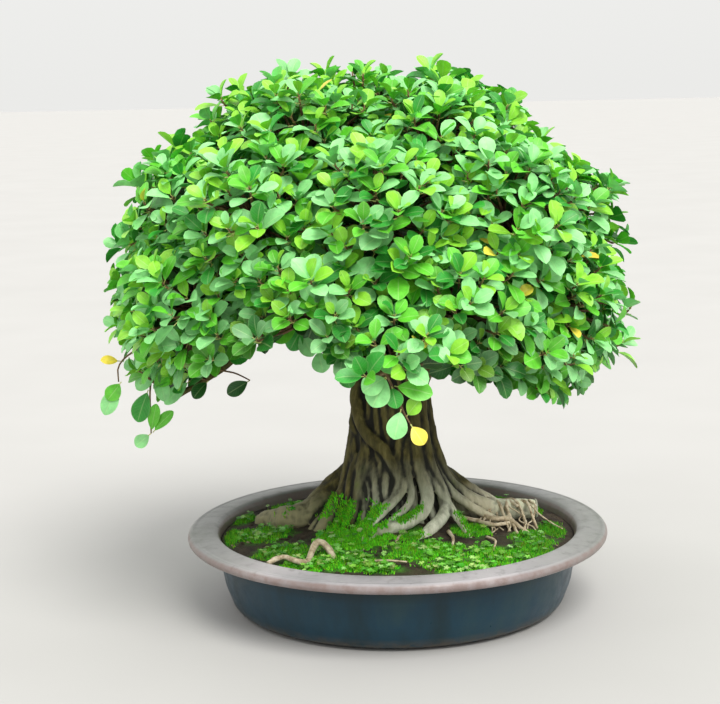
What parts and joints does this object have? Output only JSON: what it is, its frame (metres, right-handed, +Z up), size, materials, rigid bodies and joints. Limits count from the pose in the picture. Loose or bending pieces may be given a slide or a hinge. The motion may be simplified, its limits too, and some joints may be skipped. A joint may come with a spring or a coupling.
{
  "type": "chinese banyan bonsai",
  "caption": "Broad umbrella-crowned bonsai with a flared trunk of fused aerial roots, planted in a wide, shallow round pot with a flat rim.",
  "frame": {"origin": "centre of the pot's flat underside", "axes": "+Z up along the pot's axis, -Y towards the front of the tree, +X to the right seen from the front"},
  "size_m": [0.6095, 0.625, 0.6252],
  "materials": {
    "pot_glaze": "satin",
    "soil": "matte",
    "bark": "matte",
    "leaves": "satin",
    "ground_cover": "matte"
  },
  "bodies": {
    "root": {"ground_cover_back_left": "ground_cover", "ground_cover_back_right": "ground_cover", "ground_cover_front_left": "ground_cover", "ground_cover_front_right": "ground_cover", "ground_cover_left": "ground_cover", "ground_cover_right": "ground_cover", "pot": "pot_glaze", "soil": "soil", "spray_hanging": "leaves", "spray_high_1": "leaves", "spray_high_2": "leaves", "spray_high_3": "leaves", "spray_high_4": "leaves", "spray_high_5": "leaves", "spray_middle_1": "leaves", "spray_middle_2": "leaves", "spray_middle_3": "leaves", "spray_middle_4": "leaves", "spray_middle_5": "leaves", "spray_middle_6": "leaves", "spray_middle_7": "leaves", "spray_middle_8": "leaves", "spray_middle_9": "leaves", "spray_skirt_1": "leaves", "spray_skirt_4": "leaves", "spray_skirt_5": "leaves", "spray_skirt_8": "leaves", "spray_skirt_9": "leaves", "spray_top": "leaves", "spray_upper_1": "leaves", "spray_upper_2": "leaves", "spray_upper_3": "leaves", "spray_upper_4": "leaves", "spray_upper_5": "leaves", "spray_upper_6": "leaves", "spray_upper_7": "leaves", "spray_upper_8": "leaves", "spray_upper_9": "leaves", "trunk_and_roots": "bark"}
  },
  "joints": []
}
